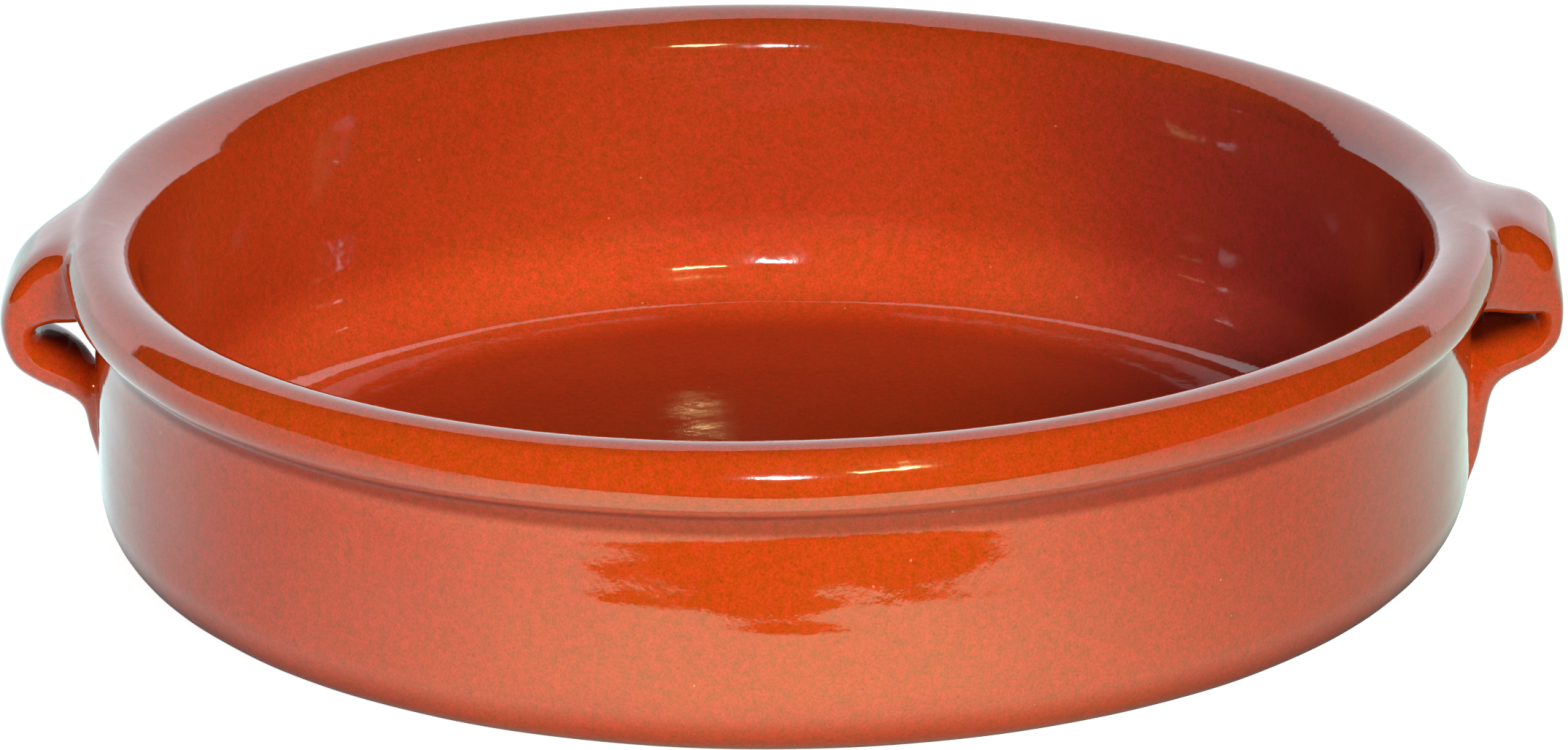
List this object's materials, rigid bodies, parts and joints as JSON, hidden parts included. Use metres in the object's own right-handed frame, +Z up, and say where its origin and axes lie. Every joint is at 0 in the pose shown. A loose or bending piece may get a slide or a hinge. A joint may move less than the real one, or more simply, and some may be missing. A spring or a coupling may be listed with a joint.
{
  "type": "terracotta dish",
  "caption": "Round glazed terracotta oven dish with a rolled rim, a crease under it, upright walls, a flat floor and small pulled loop handles at opposite sides.",
  "frame": {"origin": "centre of the flat base, on the surface that the dish stands on", "axes": "+Z up out of the dish, +X from the centre to one handle (the right one in the picture), -Y towards the viewer"},
  "size_m": [0.3076, 0.28, 0.0658],
  "materials": {
    "glazed_terracotta": "gloss"
  },
  "bodies": {
    "root": {"dish": "glazed_terracotta"}
  },
  "joints": []
}
